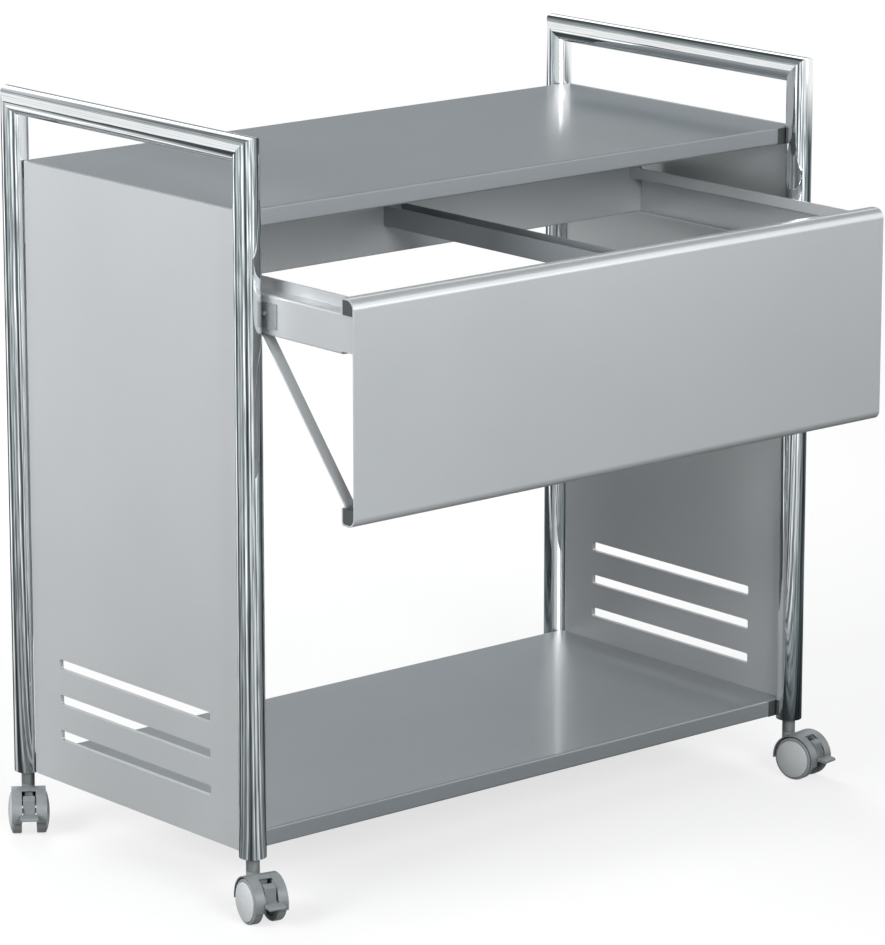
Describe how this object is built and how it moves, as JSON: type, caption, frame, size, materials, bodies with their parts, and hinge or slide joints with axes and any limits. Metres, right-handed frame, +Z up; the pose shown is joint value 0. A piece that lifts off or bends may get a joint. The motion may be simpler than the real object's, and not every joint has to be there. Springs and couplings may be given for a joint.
{
  "type": "mobile file cart",
  "caption": "Mobile office file cart with tubular side frames, slotted side panels, top and bottom shelves, a pull-out frame for hanging files and braked swivel castors.",
  "frame": {"origin": "centre of the footprint (with the drawer as pictured), on the floor", "axes": "+X to the right across the drawer front, +Y to the back, +Z up; the drawer opens towards -Y"},
  "size_m": [0.8866, 0.5826, 0.85],
  "materials": {
    "chrome_tube": "mirror-bright chrome",
    "silver_paint": "satin silver paint",
    "shelf_paint": "satin grey paint with a slight gloss",
    "dark_plastic": "matt dark grey plastic",
    "bright_steel": "plain zinc-plated steel",
    "castor_plastic": "grey moulded plastic",
    "castor_wheel": "grey moulded plastic with a smooth disc"
  },
  "bodies": {
    "frame": {"left_front_post": "chrome_tube", "left_rear_post": "chrome_tube", "left_top_rail": "chrome_tube", "right_front_post": "chrome_tube", "right_rear_post": "chrome_tube", "right_top_rail": "chrome_tube", "left_side_panel": "silver_paint", "right_side_panel": "silver_paint", "top_shelf": "shelf_paint", "top_block_left_front": "dark_plastic", "top_block_left_rear": "dark_plastic", "top_block_right_front": "dark_plastic", "top_block_right_rear": "dark_plastic", "bottom_shelf": "shelf_paint", "bottom_block_left_front": "dark_plastic", "bottom_block_left_rear": "dark_plastic", "bottom_block_right_front": "dark_plastic", "bottom_block_right_rear": "dark_plastic", "left_fixed_rail": "bright_steel", "right_fixed_rail": "bright_steel", "left_front_insert": "dark_plastic", "left_front_stem": "bright_steel", "right_front_insert": "dark_plastic", "right_front_stem": "bright_steel", "left_rear_insert": "dark_plastic", "left_rear_stem": "bright_steel", "right_rear_insert": "dark_plastic", "right_rear_stem": "bright_steel"},
    "drawer": {"drawer_front": "silver_paint", "drawer_rear_plate": "silver_paint", "drawer_centre_rail": "shelf_paint", "drawer_left_side": "silver_paint", "drawer_left_brace": "silver_paint", "drawer_left_clip": "bright_steel", "drawer_left_runner": "bright_steel", "drawer_right_side": "silver_paint", "drawer_right_brace": "silver_paint", "drawer_right_clip": "bright_steel", "drawer_right_runner": "bright_steel"},
    "left_front_castor": {"left_front_housing": "castor_plastic", "left_front_axle": "bright_steel"},
    "left_front_wheel_l": {"left_front_wheel_l": "castor_wheel"},
    "left_front_wheel_r": {"left_front_wheel_r": "castor_wheel"},
    "left_front_pedal": {"left_front_pedal": "castor_plastic"},
    "right_front_castor": {"right_front_housing": "castor_plastic", "right_front_axle": "bright_steel"},
    "right_front_wheel_l": {"right_front_wheel_l": "castor_wheel"},
    "right_front_wheel_r": {"right_front_wheel_r": "castor_wheel"},
    "right_front_pedal": {"right_front_pedal": "castor_plastic"},
    "left_rear_castor": {"left_rear_housing": "castor_plastic", "left_rear_axle": "bright_steel"},
    "left_rear_wheel_l": {"left_rear_wheel_l": "castor_wheel"},
    "left_rear_wheel_r": {"left_rear_wheel_r": "castor_wheel"},
    "left_rear_pedal": {"left_rear_pedal": "castor_plastic"},
    "right_rear_castor": {"right_rear_housing": "castor_plastic", "right_rear_axle": "bright_steel"},
    "right_rear_wheel_l": {"right_rear_wheel_l": "castor_wheel"},
    "right_rear_wheel_r": {"right_rear_wheel_r": "castor_wheel"},
    "right_rear_pedal": {"right_rear_pedal": "castor_plastic"}
  },
  "joints": [
    {"name": "drawer_slide", "type": "slide", "parent": "frame", "child": "drawer", "axis": [0, -1, 0], "range_m": [-0.127, 0.1]},
    {"name": "left_front_swivel", "type": "hinge", "parent": "frame", "child": "left_front_castor", "pos_m": [-0.4, -0.13727, 0.0676], "axis": [0, 0, 1], "continuous": true},
    {"name": "left_front_spin_l", "type": "hinge", "parent": "left_front_castor", "child": "left_front_wheel_l", "pos_m": [-0.40433, -0.1568, 0.025], "axis": [0.9763, -0.2164, 0], "continuous": true},
    {"name": "left_front_spin_r", "type": "hinge", "parent": "left_front_castor", "child": "left_front_wheel_r", "pos_m": [-0.40433, -0.1568, 0.025], "axis": [0.9763, -0.2164, 0], "continuous": true},
    {"name": "left_front_brake", "type": "hinge", "parent": "left_front_castor", "child": "left_front_pedal", "pos_m": [-0.40433, -0.1568, 0.025], "axis": [0.9763, -0.2164, 0], "range_deg": [0, 14]},
    {"name": "right_front_swivel", "type": "hinge", "parent": "frame", "child": "right_front_castor", "pos_m": [0.4, -0.13727, 0.0676], "axis": [0, 0, 1], "continuous": true},
    {"name": "right_front_spin_l", "type": "hinge", "parent": "right_front_castor", "child": "right_front_wheel_l", "pos_m": [0.4034, -0.15698, 0.025], "axis": [0.9854, 0.1702, 0], "continuous": true},
    {"name": "right_front_spin_r", "type": "hinge", "parent": "right_front_castor", "child": "right_front_wheel_r", "pos_m": [0.4034, -0.15698, 0.025], "axis": [0.9854, 0.1702, 0], "continuous": true},
    {"name": "right_front_brake", "type": "hinge", "parent": "right_front_castor", "child": "right_front_pedal", "pos_m": [0.4034, -0.15698, 0.025], "axis": [0.9854, 0.1702, 0], "range_deg": [0, 14]},
    {"name": "left_rear_swivel", "type": "hinge", "parent": "frame", "child": "left_rear_castor", "pos_m": [-0.4, 0.27373, 0.0676], "axis": [0, 0, 1], "continuous": true},
    {"name": "left_rear_spin_l", "type": "hinge", "parent": "left_rear_castor", "child": "left_rear_wheel_l", "pos_m": [-0.41144, 0.25732, 0.025], "axis": [0.8202, -0.5721, 0], "continuous": true},
    {"name": "left_rear_spin_r", "type": "hinge", "parent": "left_rear_castor", "child": "left_rear_wheel_r", "pos_m": [-0.41144, 0.25732, 0.025], "axis": [0.8202, -0.5721, 0], "continuous": true},
    {"name": "left_rear_brake", "type": "hinge", "parent": "left_rear_castor", "child": "left_rear_pedal", "pos_m": [-0.41144, 0.25732, 0.025], "axis": [0.8202, -0.5721, 0], "range_deg": [0, 14]},
    {"name": "right_rear_swivel", "type": "hinge", "parent": "frame", "child": "right_rear_castor", "pos_m": [0.4, 0.27373, 0.0676], "axis": [0, 0, 1], "continuous": true},
    {"name": "right_rear_spin_l", "type": "hinge", "parent": "right_rear_castor", "child": "right_rear_wheel_l", "pos_m": [0.41144, 0.25732, 0.025], "axis": [0.8202, 0.5721, 0], "continuous": true},
    {"name": "right_rear_spin_r", "type": "hinge", "parent": "right_rear_castor", "child": "right_rear_wheel_r", "pos_m": [0.41144, 0.25732, 0.025], "axis": [0.8202, 0.5721, 0], "continuous": true},
    {"name": "right_rear_brake", "type": "hinge", "parent": "right_rear_castor", "child": "right_rear_pedal", "pos_m": [0.41144, 0.25732, 0.025], "axis": [0.8202, 0.5721, 0], "range_deg": [0, 14]}
  ]
}
